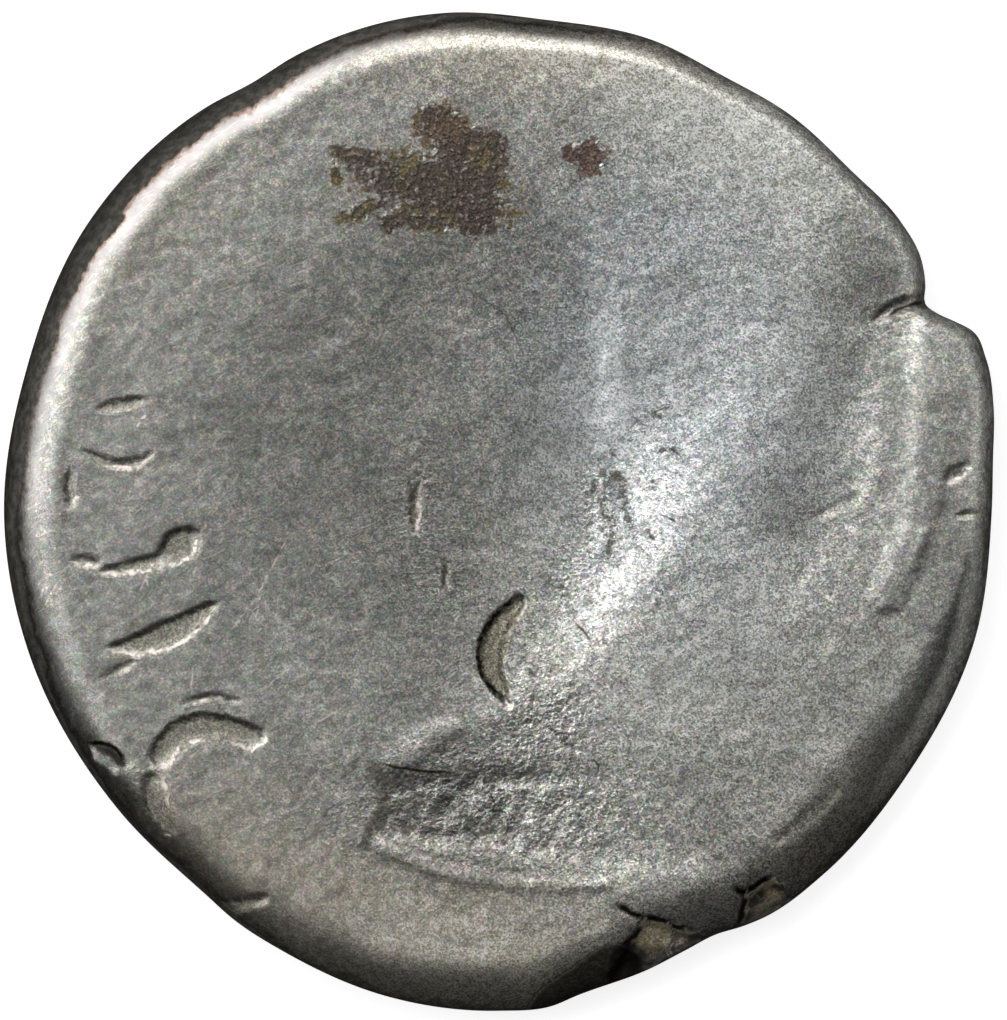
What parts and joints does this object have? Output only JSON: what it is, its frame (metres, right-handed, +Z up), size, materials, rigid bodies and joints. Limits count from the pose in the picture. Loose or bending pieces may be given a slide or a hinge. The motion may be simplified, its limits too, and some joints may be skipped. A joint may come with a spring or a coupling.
{
  "type": "worn silver coin",
  "caption": "Thick, very worn struck silver coin with an uneven outline, rounded edge, chips, a lapped fold at the rim and faint sunk marks, lying flat.",
  "frame": {"origin": "under the middle of the coin's outline, on the surface that it lies on", "axes": "+Z up through the coin's thickness, out of the side that the picture shows; +Y towards the top of that side as pictured, +X to its right"},
  "size_m": [0.018, 0.0182, 0.0016],
  "materials": {
    "silver": "old worn silver, grey and satin with a fine grain and short scratches, darker and toned round the edge, brown crust in two places"
  },
  "bodies": {
    "root": {"coin": "silver"}
  },
  "joints": []
}
